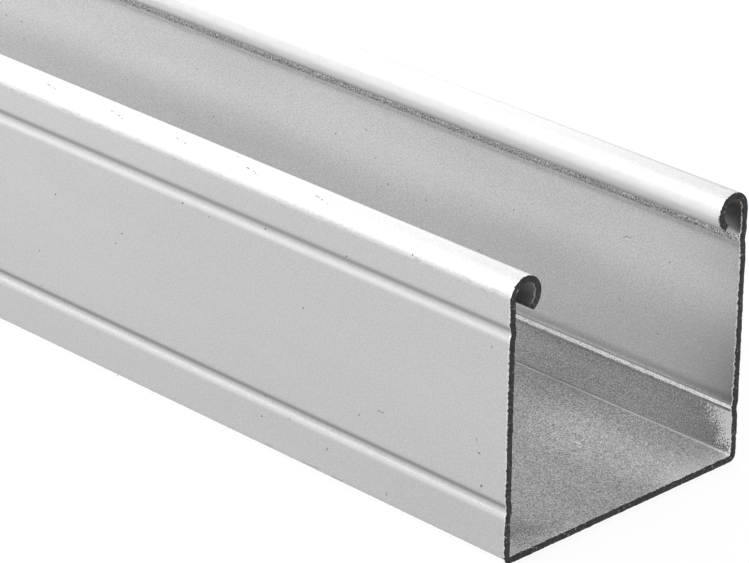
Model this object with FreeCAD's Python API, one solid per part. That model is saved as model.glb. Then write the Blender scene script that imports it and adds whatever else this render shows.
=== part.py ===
"""A roll-formed aluminium louver track: one strip of sheet bent into a channel.

The channel has a flat base and two upright side walls. Each wall carries two shallow
stiffening grooves pressed in from the outside, and ends in a bead that curls inwards
and down. The strip keeps one thickness all the way, so the section is drawn the way
the rolls form it: a walk along the middle of the sheet, in straight runs and bends.

The frame has +X along the track, +Y across it and +Z up. The origin is the middle of
the underside of the base. All sizes are millimetres and angles are degrees.
"""

import FreeCAD
import Part

import math
import os

# Overall size
track_length = 1000.0
track_width = 57.0
track_height = 51.0

# Sheet and its bends, with radii measured on the outside of the channel
sheet_thickness = 1.2
corner_radius = 1.5
bead_radius = 3.5
bead_wrap = 238.0

# Stiffening grooves, the same on both walls
groove_width = 3.5
groove_depth = 0.3
lower_groove_height = 10.0
upper_groove_drop = 9.2

half_sheet = sheet_thickness / 2


def run(length):
    """A straight stretch of the strip."""
    return ("run", length, 0.0)


def bend(angle, outside_radius):
    """A bend towards the inside of the channel, from its outside radius."""
    return ("bend", angle, outside_radius - half_sheet)


def groove():
    """Three bends that dip into the channel and come back to the wall's line."""
    angle = 2 * math.degrees(math.atan(groove_depth / (groove_width / 2)))
    middle_radius = groove_width / (4 * math.sin(math.radians(angle)))
    return [
        ("bend", angle, middle_radius),
        ("bend", -2 * angle, middle_radius),
        ("bend", angle, middle_radius),
    ]


def strip_steps():
    """The whole strip, from the tip of one bead to the tip of the other."""
    half_groove = groove_width / 2
    upper_groove_height = track_height - upper_groove_drop
    above_grooves = track_height - bead_radius - upper_groove_height - half_groove
    between_grooves = upper_groove_height - lower_groove_height - groove_width
    below_grooves = lower_groove_height - half_groove - corner_radius
    side = [bend(bead_wrap, bead_radius), run(above_grooves)]
    side += groove() + [run(between_grooves)]
    side += groove() + [run(below_grooves), bend(90, corner_radius)]
    base = [run(track_width - 2 * corner_radius)]
    return side + base + side[::-1]


def heading(angle):
    """The unit vector across the track that points along an angle from +Y."""
    return FreeCAD.Vector(0, math.cos(math.radians(angle)), math.sin(math.radians(angle)))


def across_sheet(point, left):
    """The straight cut through the sheet's thickness at one end of the strip."""
    return Part.LineSegment(point - left * half_sheet, point + left * half_sheet)


def walk_strip(steps, point, angle):
    """Walks the middle of the sheet and gives the edges of both faces and both ends."""
    edges = [across_sheet(point, heading(angle + 90))]
    for kind, amount, radius in steps:
        left = heading(angle + 90)
        if kind == "run":
            ahead = point + heading(angle) * amount
            for shift in (left * half_sheet, left * -half_sheet):
                edges.append(Part.LineSegment(point + shift, ahead + shift))
            point = ahead
        else:
            turn = math.copysign(1, amount)
            centre = point + left * turn * radius
            spokes = [heading(angle - turn * 90 + amount * share) for share in (0, 0.5, 1)]
            for face_radius in (radius - half_sheet, radius + half_sheet):
                edges.append(Part.Arc(*[centre + spoke * face_radius for spoke in spokes]))
            point = centre + spokes[-1] * radius
            angle += amount
    edges.append(across_sheet(point, heading(angle + 90)))
    return edges


def flat_width(steps):
    """How wide the flat strip is before it is bent, measured along its middle."""
    return sum(
        amount if kind == "run" else math.radians(abs(amount)) * radius
        for kind, amount, radius in steps
    )


def track_section():
    """The closed outline of the bent sheet, at the middle of the track's length."""
    tip_angle = 180 - bead_wrap
    bead_centre = FreeCAD.Vector(0, bead_radius - track_width / 2, track_height - bead_radius)
    tip = bead_centre + heading(tip_angle) * (bead_radius - half_sheet)
    curves = walk_strip(strip_steps(), tip, tip_angle + 90)
    edges = Part.sortEdges([curve.toShape() for curve in curves])[0]
    return Part.Face(Part.Wire(edges))


def louver_track():
    """The section drawn out to the track's length, half of it each way."""
    section = track_section()
    section.translate(FreeCAD.Vector(-track_length / 2, 0, 0))
    return section.extrude(FreeCAD.Vector(track_length, 0, 0))


def main():
    os.makedirs("parts", exist_ok=True)
    track = louver_track()
    track.exportStep("parts/louver_track.step")
    box = track.BoundBox
    print("louver_track: valid", track.isValid(), "solids", len(track.Solids))
    print("size %.2f x %.2f x %.2f mm" % (box.XLength, box.YLength, box.ZLength))
    print("lowest point %.4f mm, section area %.1f mm2" % (box.ZMin, track.Volume / track_length))
    print("flat strip %.1f mm wide" % flat_width(strip_steps()))


main()
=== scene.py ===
# %% [markdown]
# # A louver track of roll-formed aluminium
#
# The real thing is one strip of aluminium sheet, a little over a millimetre thick, that a row
# of rollers has bent into a channel. It has a flat base, two walls with shallow stiffening
# grooves, and a curled bead along the top of each wall. Louvers or blinds hang from carriers
# that slide inside it.
#
# The measured model comes first, because every size below is read from it or repeats it. Its
# height is repeated as a value: the model's own box ends a few microns lower, since its beads
# have flat facets.

# %% Load the measured model
import math

import bmesh
import bpy
from mathutils import Matrix, Vector, noise


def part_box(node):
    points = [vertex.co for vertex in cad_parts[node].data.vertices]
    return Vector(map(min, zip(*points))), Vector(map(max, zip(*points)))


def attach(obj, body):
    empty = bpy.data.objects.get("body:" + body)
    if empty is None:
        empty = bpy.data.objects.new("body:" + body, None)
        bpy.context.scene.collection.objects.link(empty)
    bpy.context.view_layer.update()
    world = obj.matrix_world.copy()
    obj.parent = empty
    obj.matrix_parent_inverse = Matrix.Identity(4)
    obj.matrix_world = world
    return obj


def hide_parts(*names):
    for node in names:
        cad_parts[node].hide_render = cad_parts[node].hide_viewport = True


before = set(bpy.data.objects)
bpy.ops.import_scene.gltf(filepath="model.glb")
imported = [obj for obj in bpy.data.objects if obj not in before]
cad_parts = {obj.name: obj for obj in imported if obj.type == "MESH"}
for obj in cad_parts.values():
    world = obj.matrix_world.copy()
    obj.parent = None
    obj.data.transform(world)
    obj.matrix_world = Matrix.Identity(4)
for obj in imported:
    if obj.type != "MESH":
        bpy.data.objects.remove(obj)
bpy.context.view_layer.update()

low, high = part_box("louver_track")
track_length = high.x - low.x
track_width = high.y - low.y
track_height = 0.051
print("track: %.3f x %.3f x %.3f m" % (track_length, track_width, track_height))

# %% [markdown]
# ## The camera
#
# The picture looks down into the open end of the track from its left, through a long lens
# that keeps the parallel edges nearly parallel. A camera can be aimed by hand until it looks
# right, or fitted to the straight edges in the picture. These values come from such a fit.
# They are kept as a place, a heading, a tilt and a roll, because those can be read and changed.
# A very slight shift of the lens moves the picture by the last fraction of a pixel.

# %% Place the camera
camera_place = Vector((0.9141, -0.4629, 0.3198))
camera_heading = math.radians(135.711)
camera_tilt_down = math.radians(24.146)
camera_roll = math.radians(0.583)
sensor_width = 36.0
focal_length = 198.98
lens_shift_up = -0.0002


def camera_axes():
    """Right, up and backwards, the three axes of a camera with this heading, tilt and roll."""
    level = math.cos(camera_tilt_down)
    ahead = Vector((
        level * math.cos(camera_heading),
        level * math.sin(camera_heading),
        -math.sin(camera_tilt_down),
    ))
    right = ahead.cross(Vector((0, 0, 1))).normalized()
    roll = Matrix.Rotation(camera_roll, 3, ahead)
    right = roll.inverted() @ right
    return right, right.cross(ahead), -ahead


camera_data = bpy.data.cameras.new("camera")
camera_data.sensor_width = sensor_width
camera_data.lens = focal_length
camera_data.shift_y = lens_shift_up
camera = bpy.data.objects.new("camera", camera_data)
bpy.context.scene.collection.objects.link(camera)
turned = Matrix(camera_axes()).transposed().to_4x4()
camera.matrix_world = Matrix.Translation(camera_place) @ turned
bpy.context.scene.camera = camera
print("camera: %.0f mm lens, %.2f m from the cut end" % (
    focal_length, (camera_place - Vector((high.x, 0, track_height / 2))).length
))

# %% [markdown]
# ## The section, walked as the rolls form it
#
# Roll forming bends a flat strip and keeps its thickness. So the section can be modelled the
# same way, as a walk: one short edge stands across the sheet at the tip of a bead, each flat
# is an extrusion of that edge, and each bend is a spin of it about the bend's centre. Drawing
# both faces as separate outlines would work too, but then the thickness has to be kept by
# hand at every bend. The long flats are cut into short steps, so that the cut end can get a
# ragged edge later.

# %% The sheet and its bends
sheet_thickness = 0.0012
corner_radius = 0.0015
bead_radius = 0.0035
bead_wrap = 238.0
groove_width = 0.0035
groove_depth = 0.0003
lower_groove_height = 0.010
upper_groove_drop = 0.0092

half_sheet = sheet_thickness / 2
longest_step = 0.0003
turn_per_step = 5.0
same_place = 1e-7


def heading(angle):
    """The direction across the track that points along an angle in degrees from +Y."""
    return Vector((0, math.cos(math.radians(angle)), math.sin(math.radians(angle))))


class StripWalk:
    """The end of the strip as it is walked: its front edges and the way they head."""

    def __init__(self, cut_x, middle, angle):
        self.bm = bmesh.new()
        outer_mark = self.bm.verts.layers.float.new("outer_face")
        self.angle = angle
        left = heading(angle + 90) * half_sheet
        start = Vector((cut_x, middle.y, middle.z))
        ends = [self.bm.verts.new(start - left), self.bm.verts.new(start + left)]
        ends[0][outer_mark] = 1.0
        self.front = ends + [self.bm.edges.new(ends)]

    def middle(self):
        """The point halfway through the sheet at its front edge."""
        ends = [part.co for part in self.front if isinstance(part, bmesh.types.BMVert)]
        return (ends[0] + ends[1]) / 2

    def run(self, length):
        """A flat: the front edge is extruded in short steps."""
        steps = max(1, math.ceil(length / longest_step))
        for _ in range(steps):
            edges = [part for part in self.front if isinstance(part, bmesh.types.BMEdge)]
            self.front = bmesh.ops.extrude_edge_only(self.bm, edges=edges)["geom"]
            self.front = [part for part in self.front if not isinstance(part, bmesh.types.BMFace)]
            verts = [part for part in self.front if isinstance(part, bmesh.types.BMVert)]
            bmesh.ops.translate(self.bm, verts=verts, vec=heading(self.angle) * length / steps)

    def bend(self, turn, middle_radius):
        """A bend: the front edge is spun about the bend's centre."""
        side = math.copysign(1, turn)
        centre = self.middle() + heading(self.angle + 90) * side * middle_radius
        spun = bmesh.ops.spin(
            self.bm, geom=self.front, cent=centre, axis=(1, 0, 0), dvec=(0, 0, 0),
            angle=math.radians(turn), steps=max(2, math.ceil(abs(turn) / turn_per_step)),
            use_merge=False, use_duplicate=False,
        )
        self.front = spun["geom_last"]
        self.angle += turn


def groove(walk):
    """A shallow dip into the channel: three bends that come back to the wall's line."""
    turn = 2 * math.degrees(math.atan(groove_depth / (groove_width / 2)))
    middle_radius = groove_width / (4 * math.sin(math.radians(turn)))
    for share in (1, -2, 1):
        walk.bend(share * turn, middle_radius)


half_groove = groove_width / 2
above_grooves = upper_groove_drop - bead_radius - half_groove
between_grooves = track_height - upper_groove_drop - lower_groove_height - groove_width
below_grooves = lower_groove_height - half_groove - corner_radius

tip_angle = 180 - bead_wrap
bead_centre = Vector((0, bead_radius - track_width / 2, track_height - bead_radius))
bead_middle_radius = bead_radius - half_sheet
walk = StripWalk(high.x, bead_centre + heading(tip_angle) * bead_middle_radius, tip_angle + 90)
walk.bend(bead_wrap, bead_middle_radius)
walk.run(above_grooves)
groove(walk)
walk.run(between_grooves)
groove(walk)
walk.run(below_grooves)
walk.bend(90, corner_radius - half_sheet)
walk.run(track_width - 2 * corner_radius)
walk.bend(90, corner_radius - half_sheet)
walk.run(below_grooves)
groove(walk)
walk.run(between_grooves)
groove(walk)
walk.run(above_grooves)
walk.bend(bead_wrap, bead_middle_radius)

bm = walk.bm
outer_mark = bm.verts.layers.float["outer_face"]
bmesh.ops.remove_doubles(bm, verts=bm.verts, dist=same_place)
print("section: %d points, ends at angle %.1f" % (len(bm.verts), walk.angle))

# %% [markdown]
# ## Drawn out to its length
#
# The flat ribbon of faces is the cut end. Extruding it along the track gives the whole sheet,
# closed at both ends. The steps are short near the two ends, where the saw has torn the edge,
# and long in between, where nothing changes along the track.

# %% Extrude the section along the track
end_steps = (0.0003, 0.0007, 0.002, 0.007)
middle_steps = 6

middle_step = (track_length - 2 * sum(end_steps)) / middle_steps
all_steps = list(end_steps) + [middle_step] * middle_steps + list(reversed(end_steps))
region = list(bm.verts) + list(bm.edges) + list(bm.faces)
for step in all_steps:
    region = bmesh.ops.extrude_face_region(bm, geom=region)["geom"]
    verts = [part for part in region if isinstance(part, bmesh.types.BMVert)]
    bmesh.ops.translate(bm, verts=verts, vec=(-step, 0, 0))
bmesh.ops.recalc_face_normals(bm, faces=bm.faces)
print("track: %d faces, %.1f cm3 of metal" % (len(bm.faces), bm.calc_volume(signed=True) * 1e6))

# %% [markdown]
# ## Which face of the sheet is which
#
# The side that the rolls polish, the side that faces into the channel and the sawn metal
# look different. The walk marked one corner of its first edge, and every extrusion and spin
# handed the mark on, so a face can be told by the marks on its own corners.

# %% Give each face its finish
outside, inside, cut_metal = range(3)

for face in bm.faces:
    marks = {round(vert[outer_mark]) for vert in face.verts}
    face.material_index = cut_metal if len(marks) == 2 else (outside if 1 in marks else inside)
    face.smooth = True
counts = [sum(face.material_index == finish for face in bm.faces) for finish in range(3)]
print("faces outside, inside and cut: %d, %d, %d" % tuple(counts))

# %% [markdown]
# ## The sawn ends
#
# A saw leaves a slightly torn line and a small burr on both faces of the sheet. The corners
# of each end are moved a little inwards along the track and a little into the sheet, by a
# smooth noise that is the same every time. A shift of its own for each face and each end
# keeps them from tearing alike. Then the edge between skin and cut is broken with a bevel of a
# few hundredths of a millimetre, which catches the light as a thin bright line.

# %% Tear and break the cut edges
tear_depth = 0.00012
tear_across = 0.00003
tear_spacing = 0.0009
fine_tears = 2.7
coarse_share, fine_share = 0.6, 0.5
cut_bevel = 0.00004
facing_along = 0.9
sharp_angle = math.radians(35)


def torn(place, shift):
    """Smooth noise from 0 to 1 that changes along the section."""
    coarse = noise.noise(place / tear_spacing + Vector((shift, 0, 0)))
    fine = noise.noise(place / tear_spacing * fine_tears + Vector((shift, 5, 0)))
    return min(1.0, max(0.0, 0.5 + coarse_share * coarse + fine_share * fine))


end_faces = {face for face in bm.faces if abs(face.normal.x) > facing_along}
end_verts = {vert for face in end_faces for vert in face.verts}
across = [
    edge for edge in bm.edges
    if edge.verts[0] in end_verts and edge.verts[1] in end_verts
    and round(edge.verts[0][outer_mark]) != round(edge.verts[1][outer_mark])
]
for edge in across:
    side = math.copysign(1, edge.verts[0].co.x)
    for vert, other in (edge.verts, reversed(edge.verts)):
        towards_middle = (other.co - vert.co).normalized()
        shift = 20 * round(vert[outer_mark]) + 40 * side
        vert.co += towards_middle * tear_across * torn(vert.co, shift + 10)
        vert.co.x -= side * tear_depth * torn(vert.co, shift)

rim = [edge for edge in bm.edges if len({face in end_faces for face in edge.link_faces}) == 2]
broken_rim = bmesh.ops.bevel(
    bm, geom=rim, offset=cut_bevel, offset_type="OFFSET", segments=2, profile=0.5,
    affect="EDGES", material=-1, clamp_overlap=True,
)
for face in broken_rim["faces"]:
    face.material_index = cut_metal
for vert in bm.verts:
    vert.co.x = min(high.x, max(low.x, vert.co.x))
    vert.co.y = min(high.y, max(low.y, vert.co.y))
    vert.co.z = max(low.z, vert.co.z)

for edge in bm.edges:
    if len(edge.link_faces) == 2 and edge.calc_face_angle() > sharp_angle:
        edge.smooth = False
print("torn corners: %d, faces now: %d" % (len(end_verts), len(bm.faces)))

# %% [markdown]
# ## The sheet as an object
#
# The whole track is one piece of metal, so it becomes one object that stands in for the
# measured model.

# %% Make the sheet
sheet_mesh = bpy.data.meshes.new("louver_track_sheet")
bm.to_mesh(sheet_mesh)
bm.free()
sheet = bpy.data.objects.new("louver_track_sheet", sheet_mesh)
bpy.context.scene.collection.objects.link(sheet)
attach(sheet, "root")
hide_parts("louver_track")
sheet_mesh.calc_loop_triangles()
print("sheet: %d triangles" % len(sheet_mesh.loop_triangles))

# %% [markdown] ## A small kit for node groups  Each surface effect below is a shader node
# group with named inputs and outputs.


# %% Node kit
class Group:
    """A shader node group under construction."""

    def __init__(self, name, inputs, outputs):
        self.tree = bpy.data.node_groups.new(name, "ShaderNodeTree")
        sockets = self.tree.interface
        for socket, value in inputs.items():
            made = sockets.new_socket(socket, in_out="INPUT", socket_type="NodeSocketFloat")
            made.default_value = value
        for socket in outputs:
            sockets.new_socket(socket, in_out="OUTPUT", socket_type="NodeSocketFloat")
        self.given = self.tree.nodes.new("NodeGroupInput").outputs
        self.result = self.tree.nodes.new("NodeGroupOutput").inputs
        self.place = self.tree.nodes.new("ShaderNodeTexCoord").outputs["Object"]

    def plug(self, value, socket):
        if isinstance(value, bpy.types.NodeSocket):
            self.tree.links.new(value, socket)
        else:
            socket.default_value = value

    def math(self, operation, *values):
        node = self.tree.nodes.new("ShaderNodeMath")
        node.operation = operation
        for value, socket in zip(values, node.inputs):
            self.plug(value, socket)
        return node.outputs["Value"]

    def plus(self, total, *others):
        for other in others:
            total = self.math("ADD", total, other)
        return total

    def minus(self, value, other):
        return self.math("SUBTRACT", value, other)

    def times(self, product, *others):
        for other in others:
            product = self.math("MULTIPLY", product, other)
        return product

    def share(self, value, whole):
        return self.math("DIVIDE", value, whole)

    def size(self, value):
        return self.math("ABSOLUTE", value)

    def over(self, value, limit):
        return self.math("GREATER_THAN", value, limit)

    def under(self, value, limit):
        return self.math("LESS_THAN", value, limit)

    def swing(self, noise_value, depth):
        """A noise from 0 to 1, turned into a swing about 0 that is this deep in all."""
        return self.times(self.minus(noise_value, 0.5), depth)

    def ramp(self, value, start, end, low=0.0, high=1.0):
        """The value, eased from low at start to high at end."""
        node = self.tree.nodes.new("ShaderNodeMapRange")
        node.interpolation_type = "SMOOTHSTEP"
        sockets = ("Value", "From Min", "From Max", "To Min", "To Max")
        for given, socket in zip((value, start, end, low, high), sockets):
            self.plug(given, node.inputs[socket])
        return node.outputs["Result"]

    def axis(self, letter):
        node = self.tree.nodes.new("ShaderNodeSeparateXYZ")
        self.tree.links.new(self.place, node.inputs["Vector"])
        return node.outputs[letter]

    def stretched(self, stretch):
        """The place on the object, squeezed along the track so that textures come out longer."""
        factors = self.tree.nodes.new("ShaderNodeCombineXYZ")
        self.plug(self.share(1.0, stretch), factors.inputs["X"])
        factors.inputs["Y"].default_value = factors.inputs["Z"].default_value = 1.0
        node = self.tree.nodes.new("ShaderNodeVectorMath")
        node.operation = "MULTIPLY"
        self.tree.links.new(self.place, node.inputs[0])
        self.tree.links.new(factors.outputs["Vector"], node.inputs[1])
        return node.outputs["Vector"]

    def noise(self, vector, size, detail=1.0):
        node = self.tree.nodes.new("ShaderNodeTexNoise")
        node.inputs["Detail"].default_value = detail
        self.plug(vector, node.inputs["Vector"])
        self.plug(self.share(1.0, size), node.inputs["Scale"])
        return node.outputs["Fac"]

    def cells(self, vector, size):
        """Distance to the nearest cell centre, in cell sizes, and that cell's random number."""
        node = self.tree.nodes.new("ShaderNodeTexVoronoi")
        self.plug(vector, node.inputs["Vector"])
        self.plug(self.share(1.0, size), node.inputs["Scale"])
        colour = self.tree.nodes.new("ShaderNodeSeparateColor")
        self.tree.links.new(node.outputs["Color"], colour.inputs["Color"])
        return node.outputs["Distance"], colour.outputs["Red"]

    def done(self, **results):
        for name, value in results.items():
            self.plug(value, self.result[name])
        return self.tree


print("node kit ready, steps: %s" % ", ".join(name for name in vars(Group) if name[0] != "_"))


# %% [markdown]
# ## The rolled skin
#
# Rolled aluminium has a fine sandy grain that runs a little along the strip. Close up, it is
# a mix of lighter and darker points a fraction of a millimetre wide. A noise stretched along
# the track gives it. A photo of real metal would too, but a noise needs no picture. The noise
# is moved a little first, because it is flat in the planes where its own grid lies. Clouds a
# few centimetres wide and faint streaks many centimetres long come from the mill's rolls.

# %% Group: rolled grain
off_the_grid = (0.00013, 0.00007, 0.00009)
cloud_size = 0.02
cloud_stretch = 4.0
streak_width = 0.0025
streak_stretch = 60.0

g = Group(
    "rolled_grain",
    {"Grain Size": 0.0002, "Stretch": 1.5, "Contrast": 0.2, "Streaks": 0.02, "Clouds": 0.12},
    ["Shade", "Height"],
)
moved = g.tree.nodes.new("ShaderNodeVectorMath")
moved.inputs[1].default_value = off_the_grid
g.plug(g.stretched(g.given["Stretch"]), moved.inputs[0])
grain = g.noise(moved.outputs["Vector"], g.given["Grain Size"], detail=2.0)
clouds = g.noise(g.stretched(cloud_stretch), cloud_size, detail=2.0)
streaks = g.noise(g.stretched(streak_stretch), streak_width, detail=3.0)
shade = g.plus(
    1.0,
    g.swing(grain, g.given["Contrast"]),
    g.swing(clouds, g.given["Clouds"]),
    g.swing(streaks, g.given["Streaks"]),
)
rolled_grain = g.done(Shade=shade, Height=grain)
print("rolled grain: %d nodes" % len(rolled_grain.nodes))

# %% [markdown]
# ## Specks
#
# Here and there a point of dirt or a small pit stays on the sheet. Cells scattered through
# space give their places: only a share of the cells holds a speck, and only near its centre.

# %% Group: specks
speck_core = 0.6

g = Group("specks", {"Spacing": 0.004, "Size": 0.0003, "Share": 0.3, "Stretch": 1.0}, ["Mask"])
distance, number = g.cells(g.stretched(g.given["Stretch"]), g.given["Spacing"])
speck_reach = g.share(g.given["Size"], g.given["Spacing"])
near = g.ramp(distance, g.times(speck_reach, speck_core), speck_reach, 1.0, 0.0)
specks = g.done(Mask=g.times(near, g.under(number, g.given["Share"])))
print("specks: %d nodes" % len(specks.nodes))

# %% [markdown]
# ## Single marks
#
# A few scratches and dents can be told apart near the sawn end. Each one is a short line on
# the surface, given by the place of its middle, its length, its width, its slope and how much
# it bends. A noise breaks the line in places.

# %% Group: short mark
mark_reach = 0.003
mark_ends = (0.42, 0.55)
mark_break_size = 0.0004
mark_breaks = (0.34, 0.46)

g = Group(
    "short_mark",
    {"X": 0.0, "Y": 0.0, "Z": 0.0, "Length": 0.002, "Width": 0.0001, "Slope": 0.0, "Bend": 0.0},
    ["Mask"],
)
off_x, off_y, off_z = (g.minus(g.axis(letter), g.given[letter]) for letter in "XYZ")
along = g.share(off_x, g.given["Length"])
sloped = g.times(g.given["Slope"], off_x)
bent = g.times(along, along, g.times(g.given["Bend"], g.given["Length"]))
off_line = g.size(g.minus(g.plus(off_y, off_z), g.plus(sloped, bent)))
line = g.ramp(off_line, g.times(g.given["Width"], 0.5), g.given["Width"], 1.0, 0.0)
between_ends = g.ramp(g.size(along), *mark_ends, 1.0, 0.0)
unbroken = g.ramp(g.noise(g.place, mark_break_size), *mark_breaks)
near_y = g.under(g.size(off_y), mark_reach)
near_z = g.under(g.size(off_z), mark_reach)
short_mark = g.done(Mask=g.times(line, between_ends, unbroken, near_y, near_z))
print("short mark: %d nodes" % len(short_mark.nodes))

# %% [markdown]
# ## Marks of the bead rolls
#
# One of the rolls that curled the bead had a nick in it. It left the same faint curved mark
# every 17.4 mm along the shoulder of the left bead, and none near the sawn end, where the
# bead was worked again. The same bead is rubbed in short flecks at half its height. On both
# beads the side that faces the channel gets a painted reflection of the channel's lit inner wall.

# %% Group: roll marks
nick_start_angle = 0.925
nick_climb = 0.175
nick_bow = 0.6
nick_span = (-0.1, 1.1)
nick_line = (0.02, 0.06)
nick_break_size = 0.0006
nick_breaks = (0.45, 0.6)
past_first_nick = 0.003
rub_above_centre = 0.0004
rub_reach = (0.0003, 0.0008)
fleck_size, fleck_stretch = 0.0005, 5.0
fleck_sides = (0.56, 0.66)
reflection_under_centre = 0.0008
reflection_reach = (0.0004, 0.0021)
inward_side = (0.0225, 0.0245)

g = Group(
    "roll_marks", {"Pitch": 0.0174, "First": 0.4560, "Length": 0.0033}, ["Nick", "Rub", "Burnish"]
)
x, y, z = g.axis("X"), g.axis("Y"), g.axis("Z")
from_middle = g.size(y)
above_centre = g.minus(z, bead_centre.z)
angle = g.math("ARCTAN2", above_centre, g.plus(from_middle, bead_centre.y))
left_bead = g.under(y, 0.0)

behind = g.minus(g.given["First"], x)
half_pitch = g.times(g.given["Pitch"], 0.5)
turn = g.math("WRAP", g.plus(behind, half_pitch), g.given["Pitch"], 0.0)
along = g.share(g.minus(turn, half_pitch), g.given["Length"])
inside_nick = g.times(g.over(along, nick_span[0]), g.under(along, nick_span[1]))
bow = g.math("POWER", g.math("MAXIMUM", along, 0.0), nick_bow)
curve = g.plus(nick_start_angle, g.times(bow, nick_climb))
line = g.ramp(g.size(g.minus(angle, curve)), *nick_line, 1.0, 0.0)
unbroken = g.ramp(g.noise(g.place, nick_break_size), *nick_breaks)
nick = g.times(inside_nick, line, unbroken, left_bead, g.over(behind, -past_first_nick))

shoulder = g.ramp(g.size(g.minus(above_centre, rub_above_centre)), *rub_reach, 1.0, 0.0)
flecks = g.ramp(g.noise(g.stretched(fleck_stretch), fleck_size, detail=2.0), *fleck_sides)
# painted reflection on the channel side of each bead
reflecting_side = g.ramp(g.size(g.plus(above_centre, reflection_under_centre)), *reflection_reach, 1.0, 0.0)
inward = g.ramp(from_middle, *inward_side, 1.0, 0.0)
roll_marks = g.done(
    Nick=nick, Rub=g.times(shoulder, flecks, left_bead), Burnish=g.times(reflecting_side, inward)
)
print("roll marks: %d nodes" % len(roll_marks.nodes))

# %% [markdown]
# ## The torn rim
#
# The rim of the saw cut is torn, and a painted shade as dark as the cut face runs along it.
# The next fifth of a millimetre has a painted highlight, where the broken edge would catch the
# light. A noise added to the distance from the end makes both lines ragged.
# On the base the bright line has nearly gone.

# %% Group: torn rim
ragged_size = 0.0005
ragged_depth = 0.0011
fringe_blur = 0.15
highlight_blur = 0.3
highlight_on_base = 0.2


def from_end(g):
    """Distance from the nearer sawn end."""
    return g.minus(track_length / 2, g.size(g.axis("X")))


def off_base(g):
    """1 on the walls and 0 on the base."""
    return g.ramp(g.axis("Z"), sheet_thickness * 1.1, sheet_thickness * 1.6)


# first output: painted shade along the rim; second: painted highlight beside it
g = Group("torn_rim", {"Fringe Width": 0.00019, "Burr Width": 0.00018}, ["Fringe", "Burr"])
ragged = g.swing(g.noise(g.place, ragged_size, detail=3.0), ragged_depth)
torn_end = g.plus(from_end(g), ragged)
fringe_start = g.times(g.given["Fringe Width"], 1 - fringe_blur)
fringe_end = g.times(g.given["Fringe Width"], 1 + fringe_blur)
fringe = g.ramp(torn_end, fringe_start, fringe_end, 1.0, 0.0)
highlight_end = g.plus(g.given["Fringe Width"], g.given["Burr Width"])
edge_highlight = g.ramp(torn_end, highlight_end, g.times(highlight_end, 1 + highlight_blur), 1.0, 0.0)
edge_highlight = g.times(edge_highlight, g.plus(g.times(off_base(g), 1 - highlight_on_base), highlight_on_base))
torn_rim = g.done(Fringe=fringe, Burr=edge_highlight)
print("torn rim: %d nodes" % len(torn_rim.nodes))

# %% [markdown]
# ## Painted shade near the ends
#
# The last centimetre before each sawn end is darkened with painted shade, most of all low on
# the walls, beside the left wall and under and inside the right bead. The left half of the base
# is darker over its whole length, the painted shadow of the left wall, and a broad darker band
# crosses the base a few centimetres in.

# %% Group: painted end shade
end_fade_length = 0.010
wall_heights, wall_shade = (0.010, 0.032), (0.62, 0.26)
beside_left_wall, beside_shade = (0.006, 0.019), (0.6, 0.05)
left_half, left_shadow = (0.029, 0.046), (0.31, 0.0)
far_band_start, far_band_darkness, far_band_end = (0.024, 0.042), (0.0, 0.20), (0.048, 0.060)
lip_heights, lip_shadow = (0.0418, 0.0434), (0.0, 0.62)
curl_heights, curl_shade = (0.0450, 0.0468), 0.4


def end_fade(g):
    """1 at a sawn end, fading away along the track."""
    return g.math("EXPONENT", g.share(g.times(from_end(g), -1.0), end_fade_length))


def from_left_wall(g):
    """Distance across the track from the outside of the left wall."""
    return g.plus(g.axis("Y"), track_width / 2)


g = Group("painted_end_shade", {}, ["Dull"])
fade, height, from_left = end_fade(g), g.axis("Z"), from_left_wall(g)
walls = g.times(fade, g.ramp(height, *wall_heights, *wall_shade), off_base(g))

beside = g.times(fade, g.ramp(from_left, *beside_left_wall, *beside_shade))
# painted shadow of the left wall on the base
left_wall_shadow = g.ramp(from_left, *left_half, *left_shadow)
to_end = from_end(g)
far_band = g.times(
    g.ramp(to_end, *far_band_start, *far_band_darkness), g.ramp(to_end, *far_band_end, 1.0, 0.0)
)
base = g.times(g.plus(beside, left_wall_shadow, far_band), g.minus(1.0, off_base(g)))

in_curl = g.ramp(height, *curl_heights)
# painted shadow under the lip and inside the right bead, near the ends
under_lip = g.times(g.ramp(height, *lip_heights, *lip_shadow), g.minus(1.0, in_curl), fade, fade)
right_bead = g.times(
    g.plus(under_lip, g.times(in_curl, curl_shade, fade)), g.over(g.axis("Y"), 0.0)
)
painted_end_shade = g.done(Dull=g.plus(walls, right_bead, base))
print("handled end: %d nodes" % len(painted_end_shade.nodes))

# %% [markdown]
# ## Wiped patches
#
# In two corners by the cut the metal is wiped clean and the painted shade of the end gives way:
# low on the right wall and beside the left wall. Both patches end in separate specks, which a
# coarse and a fine noise make together. The right part of the base is wiped too, evenly and only
# at the very end.

# %% Group: wiped patches
island_size, island_depth = 0.003, 0.006
point_size, point_depth = 0.0003, 0.018
patch_blur = 0.0002
wall_patch_top = 0.0095
wall_patch_lean = 0.60
base_patch_width = 0.016
base_patch_lean = 0.4
base_patch_strength = 0.35
wiped_part, wiped_strength = (0.036, 0.044), (0.0, 0.45)

g = Group("wiped_patches", {}, ["Patch"])
fade, height, from_left = end_fade(g), g.axis("Z"), from_left_wall(g)
islands = g.swing(g.noise(g.place, island_size, detail=2.0), island_depth)
points = g.swing(g.noise(g.place, point_size), point_depth)
spread = g.plus(from_end(g), g.plus(islands, points))

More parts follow.
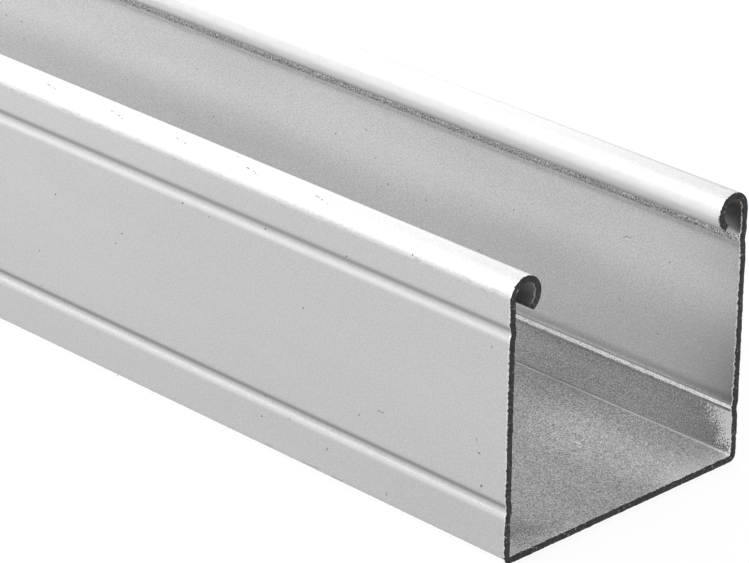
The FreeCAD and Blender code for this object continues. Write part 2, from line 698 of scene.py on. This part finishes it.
wall_reach = g.times(height, wall_patch_lean)
on_wall = g.times(
    g.ramp(g.minus(wall_reach, spread), -patch_blur, patch_blur),
    g.under(height, wall_patch_top),
    g.over(from_left, track_width - 2 * sheet_thickness),
)
base_reach = g.times(g.minus(base_patch_width, from_left), base_patch_lean)
on_base = g.times(
    g.ramp(g.minus(base_reach, spread), -patch_blur, patch_blur),
    g.under(height, 1.5 * sheet_thickness),
    base_patch_strength,
)
wiped_base = g.times(
    fade, fade, g.ramp(from_left, *wiped_part, *wiped_strength), g.minus(1.0, off_base(g))
)
wiped_patches = g.done(Patch=g.plus(on_wall, on_base, wiped_base))
print("wiped patches: %d nodes" % len(wiped_patches.nodes))

# %% [markdown]
# ## Bands that run along the track
#
# The base and the strip of wall under the lower groove are grainier than the rest of the
# inside, and darker, partly as painted shade. The crest of the lower rib has a painted
# highlight, thin lines of painted shade lie over the grooves, and the curl of the bead is in
# painted shade. Each of these is a band by height, so one group with a centre and a width does
# them. Its dots make the two sides of the band uneven.

# %% Group: band
dot_size = 0.0004
dot_stretch = 1.5

g = Group("band", {"Height": 0.010, "Half Width": 0.0005, "Blur": 0.0003, "Dots": 0.0}, ["Mask"])
off = g.size(g.minus(g.axis("Z"), g.given["Height"]))
dots = g.swing(g.noise(g.stretched(dot_stretch), dot_size), g.given["Dots"])
inner_side = g.minus(g.given["Half Width"], g.given["Blur"])
outer_side = g.plus(g.given["Half Width"], g.given["Blur"])
band = g.done(Mask=g.ramp(g.plus(off, dots), inner_side, outer_side, 1.0, 0.0))
print("band: %d nodes" % len(band.nodes))


# %% [markdown]
# ## The three finishes
#
# The shader of each finish stays outside the groups, so its constant values can be read in
# one place. A finish starts from one colour, and each step lays the next grey over it where a
# mask says so.

# %% Material kit
class Finish:
    """A metal whose colour is built up in layers."""

    def __init__(self, name, roughness):
        self.material = bpy.data.materials.new(name)
        self.material.use_nodes = True
        self.tree = self.material.node_tree
        self.shader = self.tree.nodes["Principled BSDF"]
        self.shader.inputs["Metallic"].default_value = 1.0
        self.shader.inputs["Roughness"].default_value = roughness
        self.colour = None

    def plug(self, value, socket):
        if isinstance(value, bpy.types.NodeSocket):
            self.tree.links.new(value, socket)
        elif isinstance(value, float) and socket.type == "RGBA":
            socket.default_value = (value, value, value, 1)
        else:
            socket.default_value = value

    def group(self, tree, **values):
        node = self.tree.nodes.new("ShaderNodeGroup")
        node.node_tree = tree
        for name, value in values.items():
            node.inputs[name.replace("_", " ")].default_value = value
        return node.outputs

    def times(self, grey, shade):
        node = self.tree.nodes.new("ShaderNodeMix")
        node.data_type = "RGBA"
        node.blend_type = "MULTIPLY"
        node.inputs["Factor"].default_value = 1.0
        self.plug(grey, node.inputs["A"])
        self.plug(shade, node.inputs["B"])
        return node.outputs["Result"]

    def lay(self, mask, grey):
        """Lays a grey over the colour so far, fully where the mask is 1."""
        node = self.tree.nodes.new("ShaderNodeMix")
        node.data_type = "RGBA"
        self.plug(mask, node.inputs["Factor"])
        self.plug(self.colour, node.inputs["A"])
        self.plug(grey, node.inputs["B"])
        self.colour = node.outputs["Result"]

    def lay_band(self, grey, height, half_width, blur, dots=0.0):
        """Lays a grey over a band of height, and returns the band's mask."""
        sizes = {"Height": height, "Half_Width": half_width, "Blur": blur, "Dots": dots}
        mask = self.group(band, **sizes)["Mask"]
        self.lay(mask, grey)
        return mask

    def lay_mark(self, grey, x, y, z, length, width, slope=0.0, bend=0.0):
        """Lays a grey over one short mark with its middle at this place."""
        sizes = {"Length": length, "Width": width, "Slope": slope, "Bend": bend}
        self.lay(self.group(short_mark, X=x, Y=y, Z=z, **sizes)["Mask"], grey)

    def roughness(self, mask, below, above):
        """Roughness below where the mask is 0 and above where it is 1."""
        node = self.tree.nodes.new("ShaderNodeMapRange")
        self.plug(mask, node.inputs["Value"])
        node.inputs["To Min"].default_value = below
        node.inputs["To Max"].default_value = above
        self.plug(node.outputs["Result"], self.shader.inputs["Roughness"])

    def use(self, height, depth):
        """Sends the colour and the height to the shader."""
        self.plug(self.colour, self.shader.inputs["Base Color"])
        bump = self.tree.nodes.new("ShaderNodeBump")
        bump.inputs["Distance"].default_value = depth
        bump.inputs["Strength"].default_value = 1.0
        self.plug(height, bump.inputs["Height"])
        self.tree.links.new(bump.outputs["Normal"], self.shader.inputs["Normal"])
        return self.material


# white of the painted reflections, and of the real bright scratch on the base
scratch_and_reflection_white = 1.0
# near-black painted shade of the cut, also laid along its rim
cut_shade_grey = 0.05
upper_groove_height = track_height - upper_groove_drop
print("finish kit ready, metal is set on the shader itself")

# %% [markdown]
# ## The outside
#
# The outer face is the clean mill finish, an even light grey that is half dull. Each groove
# has a soft dark line of painted shade on its upper slope, which faces down, and a painted
# highlight on its lower one, and the bottom of the upper groove is painted a little darker to
# dim that highlight. The bend at the foot of the wall has a painted reflection of the white
# floor. The greys are laid over each other in this order: the skin, the painted shade and
# highlights, the dirt, the marks of the rolls with their painted reflection, and last the saw
# cut with its painted shade and highlight.

# %% Finish: the outside
outer_grey = 0.47
outer_roughness = 0.55
outer_bump = 0.000003
# painted highlight below each groove and painted shade above it
highlight_drop = 0.0014
shade_rise = 0.00078
bottom_drop, bottom_shade_grey = 0.0006, 0.41
foot_reflection_height = 0.0007
outer_speck_grey = 0.12
nick_grey = 0.20
rub_grey = 0.38
outer_edge_highlight_grey = 0.60

finish = Finish("outside_skin", outer_roughness)
grain = finish.group(rolled_grain, Grain_Size=0.0002, Contrast=0.66)
finish.colour = finish.times(outer_grey, grain["Shade"])

# height of each groove, grey of its painted highlight and grey of its painted shade
groove_highlights_and_shades = (
    (lower_groove_height, 0.52, 0.27),
    (upper_groove_height, 0.49, 0.31),
)
for groove_height, highlight_grey, groove_shade_grey in groove_highlights_and_shades:
    finish.lay_band(highlight_grey, groove_height - highlight_drop, half_width=0.0003, blur=0.00035)
    finish.lay_band(groove_shade_grey, groove_height + shade_rise, half_width=0.0004, blur=0.00045)
# painted shade that dims the highlight at the bottom of the upper groove
finish.lay_band(
    bottom_shade_grey, upper_groove_height - bottom_drop, half_width=0.00025, blur=0.0003,
)
# painted reflection of the white floor on the bend at the foot of the wall
finish.lay_band(scratch_and_reflection_white, foot_reflection_height, half_width=0.00038, blur=0.00015, dots=0.0002)
dirt = finish.group(specks, Spacing=0.0050, Size=0.00024, Share=0.7)
finish.lay(dirt["Mask"], outer_speck_grey)

# grey, place along the track, height, length, width and slope of each mark on the left wall
outer_marks = (
    (0.16, 0.4706, 0.0177, 0.0014, 0.00013, 0.0),
    (0.16, 0.4943, 0.0127, 0.0005, 0.00030, 0.8),
    (0.16, 0.4936, 0.0184, 0.0006, 0.00016, 0.0),
    (0.24, 0.4930, 0.0206, 0.0002, 0.00060, 0.0),
    (0.16, 0.4721, 0.0028, 0.0002, 0.00045, 0.0),
    (0.30, 0.4600, 0.0013, 0.0030, 0.00012, 0.0),
    (0.30, 0.4536, 0.0015, 0.0040, 0.00012, 0.05),
    (0.30, 0.4432, 0.0015, 0.0020, 0.00010, 0.0),
)
for mark_grey, mark_x, mark_z, length, width, slope in outer_marks:
    finish.lay_mark(mark_grey, mark_x, -track_width / 2, mark_z, length, width, slope)

marks = finish.group(roll_marks)
# painted reflection on the channel side of the beads
finish.lay(marks["Burnish"], scratch_and_reflection_white)
finish.lay(marks["Nick"], nick_grey)
finish.lay(marks["Rub"], rub_grey)
rim = finish.group(torn_rim)
# painted highlight beside the cut, then painted shade along its rim
finish.lay(rim["Burr"], outer_edge_highlight_grey)
finish.lay(rim["Fringe"], cut_shade_grey)
sheet_mesh.materials.append(finish.use(grain["Height"], outer_bump))
print("outside: grey %.2f, roughness %.2f" % (outer_grey, outer_roughness))

# %% [markdown]
# ## The inside
#
# The inside has two parts. The walls are a fine light grey. The base and the strip of wall
# under the lower rib are sandier and darker, the darkness partly painted shade at the bottom of
# the channel. Halfway up, the walls have painted light, and they have painted shade again under
# the upper groove, where the bead casts its shadow, and just above the lower rib. The rib's crest
# has a painted highlight, with a slightly greyer line along its middle and a line of painted
# shade on either side. The corner of the base has painted shade too. The back of the upper
# groove is a strip of light and dark dots, painted shadow under the lip, and the curl of the
# bead is in painted shade.

# %% Finish: the inside
inner_roughness, crest_roughness = 0.6, 0.9
inner_bump = 0.000004
upper_grey, lower_grey_and_shade = 0.81, 0.52
mid_wall_light_grey, mid_wall_light_height = 0.91, 0.0315
shaded_grey, shaded_height = 0.73, 0.0402
over_rib_shade_grey, over_rib_height = 0.58, lower_groove_height + 0.0014
low_part_height = 0.0103
corner_shade_grey, corner_height = 0.38, 0.0014
curl_shade_grey, curl_depth = 0.50, 0.0062
crest_highlight_grey, crest_height = 0.98, lower_groove_height + 0.00039
middle_grey, middle_height = 0.78, lower_groove_height + 0.0004
crest_side_shade_grey = 0.38
upper_side_height = lower_groove_height + 0.00093
lower_side_height = lower_groove_height - 0.0004
strip_shade_grey, strip_height = 0.46, upper_groove_height + 0.0001
inner_speck_grey = 0.3
tick_grey = 0.33
patch_grey = 0.84
inner_edge_highlight_grey = 0.90

finish = Finish("inside_skin", inner_roughness)
fine = finish.group(rolled_grain, Grain_Size=0.0002, Contrast=1.0, Clouds=0.35)
coarse = finish.group(rolled_grain, Grain_Size=0.0002, Contrast=3.5, Stretch=1.1, Streaks=0.24)
dotted = finish.group(rolled_grain, Grain_Size=0.00026, Contrast=5.4, Stretch=1.0)
crest_grain = finish.group(rolled_grain, Grain_Size=0.00026, Contrast=1.9, Stretch=1.0)

wall_greys = (upper_grey, mid_wall_light_grey, shaded_grey, over_rib_shade_grey)
upper, wiped, shaded, over_rib_shade = (finish.times(grey, fine["Shade"]) for grey in wall_greys)
sandy = finish.times(lower_grey_and_shade, coarse["Shade"])
finish.colour = upper
# painted light halfway up the walls
finish.lay_band(wiped, mid_wall_light_height, half_width=0.0040, blur=0.0045)
# painted shadow of the bead under the upper groove
finish.lay_band(shaded, shaded_height, half_width=0.0006, blur=0.0012)
# painted shade just above the lower rib
finish.lay_band(over_rib_shade, over_rib_height, half_width=0.0011, blur=0.0009)
# sandier lower part, darker partly as painted shade at the bottom of the channel
finish.lay_band(sandy, 0.0, half_width=low_part_height, blur=0.0003)
# painted shade over the bright line in the corner of the base
finish.lay_band(corner_shade_grey, corner_height, half_width=0.00017, blur=0.00002, dots=0.0001)
# painted shade inside the curl of the bead
finish.lay_band(curl_shade_grey, track_height, half_width=curl_depth, blur=0.0012)
# painted shade near the ends, laid as black
finish.lay(finish.group(painted_end_shade)["Dull"], 0.0)

# painted highlight on the crest of the lower rib, with painted shade on either side
crest_highlight = finish.times(crest_highlight_grey, crest_grain["Shade"])
finish.lay_band(crest_side_shade_grey, upper_side_height, half_width=0.00010, blur=0.00006, dots=0.0001)
finish.lay_band(crest_side_shade_grey, lower_side_height, half_width=0.00018, blur=0.0001, dots=0.0002)
crest = finish.lay_band(crest_highlight, crest_height, half_width=0.00030, blur=0.0001, dots=0.0001)
finish.lay_band(middle_grey, middle_height, half_width=0.00006, blur=0.00004)
finish.roughness(crest, inner_roughness, crest_roughness)
# dotted strip behind the upper groove: painted shadow under the lip, with the ridge's painted
# highlight broken into its light dots
shaded_strip = finish.times(strip_shade_grey, dotted["Shade"])
finish.lay_band(shaded_strip, strip_height, half_width=0.0006, blur=0.00015, dots=0.0002)

dirt = finish.group(specks, Spacing=0.004, Size=0.00022, Share=0.9)
finish.lay(dirt["Mask"], inner_speck_grey)
wall_y = track_width / 2 - sheet_thickness
finish.lay_mark(
    tick_grey, x=0.4741, y=wall_y, z=0.0342, length=0.0020, width=0.00011, slope=0.25, bend=-0.9,
)
finish.lay_mark(scratch_and_reflection_white, x=0.4783, y=0.0117, z=sheet_thickness, length=0.0014, width=0.00016)
finish.lay(finish.group(wiped_patches)["Patch"], patch_grey)
# painted highlight beside the cut, then painted shade along its rim
rim = finish.group(torn_rim)
finish.lay(rim["Burr"], inner_edge_highlight_grey)
finish.lay(rim["Fringe"], cut_shade_grey)
sheet_mesh.materials.append(finish.use(coarse["Height"], inner_bump))
print("inside: walls %.2f, base %.2f, curl %.2f" % (upper_grey, lower_grey_and_shade, curl_shade_grey))

# %% [markdown]
# ## The sawn metal
#
# The cut faces are as the saw left them: rough and streaked across the thickness. Their nearly
# black grey is painted shade, for cut ends that face away from the light. Chips that the teeth
# left bright lie scattered on it. A very dark metal with short streaks and lighter specks says
# it in one colour and one bump.

# %% Finish: the sawn metal
# near-black painted shade of the cut faces
sawn_shade_grey = 0.048
sawn_roughness = 0.5
sawn_bump = 0.00001
chip_grey = 0.26

finish = Finish("sawn_edge", sawn_roughness)
streaks = finish.group(rolled_grain, Grain_Size=0.0004, Stretch=0.5, Contrast=1.8)
chips = finish.group(specks, Spacing=0.0006, Size=0.00028, Share=0.42, Stretch=0.6)
finish.colour = finish.times(sawn_shade_grey, streaks["Shade"])
finish.lay(chips["Mask"], chip_grey)
sheet_mesh.materials.append(finish.use(streaks["Height"], sawn_bump))
print("materials on the sheet: %d" % len(sheet_mesh.materials))

# %% [markdown]
# ## The stage
#
# A plain white floor. Its material is paper that glows for the camera and in reflections, so
# that it looks white in both, and it still keeps a faint shadow under the track.

# %% Floor
floor_size = 6.0
paper_white = 0.9
paper_roughness = 0.9
glow_share = 0.9

floor_bm = bmesh.new()
bmesh.ops.create_grid(floor_bm, x_segments=1, y_segments=1, size=floor_size / 2)
floor_mesh = bpy.data.meshes.new("floor")
floor_bm.to_mesh(floor_mesh)
floor_bm.free()
floor = bpy.data.objects.new("floor", floor_mesh)
bpy.context.scene.collection.objects.link(floor)

paper = bpy.data.materials.new("floor_paper")
paper.use_nodes = True
nodes, links = paper.node_tree.nodes, paper.node_tree.links
shader = nodes["Principled BSDF"]
shader.inputs["Base Color"].default_value = (paper_white, paper_white, paper_white, 1)
shader.inputs["Roughness"].default_value = paper_roughness
glow = nodes.new("ShaderNodeEmission")
path = nodes.new("ShaderNodeLightPath")
seen = path.outputs["Is Camera Ray"]
for ray in ("Is Glossy Ray", "Is Transmission Ray"):
    either = nodes.new("ShaderNodeMath")
    either.operation = "MAXIMUM"
    links.new(seen, either.inputs[0])
    links.new(path.outputs[ray], either.inputs[1])
    seen = either.outputs["Value"]
share = nodes.new("ShaderNodeMath")
share.operation = "MULTIPLY"
links.new(seen, share.inputs[0])
share.inputs[1].default_value = glow_share
mix = nodes.new("ShaderNodeMixShader")
links.new(share.outputs["Value"], mix.inputs["Fac"])
links.new(shader.outputs["BSDF"], mix.inputs[1])
links.new(glow.outputs["Emission"], mix.inputs[2])
links.new(mix.outputs["Shader"], nodes["Material Output"].inputs["Surface"])
floor_mesh.materials.append(paper)
print("floor: %.0f m wide, glow %.2f" % (floor_size, glow_share))

# %% [markdown]
# ## The light
#
# A half ring of soft boxes runs from the right of the track round its far end to its left,
# low enough to shine into the open channel. One more stands low on the left and lights the
# outer wall. Only the box on the right is weak, so the tops of the beads burn out to white and
# the walls stay grey. Each box is given by its bearing around the cut end, the angle that it
# is raised by, its own height and its brightness.

# %% Soft boxes
box_distance = 0.6
box_width = 0.36
lit_place = Vector((0.42, 0, 0.03))
world_brightness = 0.6

# name, bearing and rise in degrees, height in metres and brightness of each box
soft_boxes = (
    ("right", 90, 32, 0.26, 1.4),
    ("back_right", 140, 27, 0.50, 3.0),
    ("back", 178, 34, 0.62, 2.9),
    ("back_left", 225, 33, 0.62, 3.0),
    ("left", 270, 32, 0.62, 2.3),
    ("low_left", 240, 9, 0.16, 3.0),
)

for name, bearing, rise, box_height, brightness in soft_boxes:
    level = math.cos(math.radians(rise))
    outward = Vector((
        level * math.cos(math.radians(bearing)),
        level * math.sin(math.radians(bearing)),
        math.sin(math.radians(rise)),
    ))
    lamp = bpy.data.lights.new(name, "AREA")
    lamp.shape = "RECTANGLE"
    lamp.size, lamp.size_y = box_width, box_height
    lamp.energy = brightness * math.pi * box_width * box_height
    box = bpy.data.objects.new(name, lamp)
    bpy.context.scene.collection.objects.link(box)
    turned = outward.to_track_quat("Z", "Y").to_matrix().to_4x4()
    box.matrix_world = Matrix.Translation(lit_place + outward * box_distance) @ turned

world = bpy.data.worlds.new("studio")
world.use_nodes = True
background = world.node_tree.nodes["Background"]
background.inputs["Color"].default_value = (1, 1, 1, 1)
background.inputs["Strength"].default_value = world_brightness
bpy.context.scene.world = world
bpy.context.scene.view_settings.view_transform = "Standard"
print("soft boxes: %d" % len(soft_boxes))

# %% [markdown]
# ## The size
#
# The finished sheet must stay inside the measured model's own box.
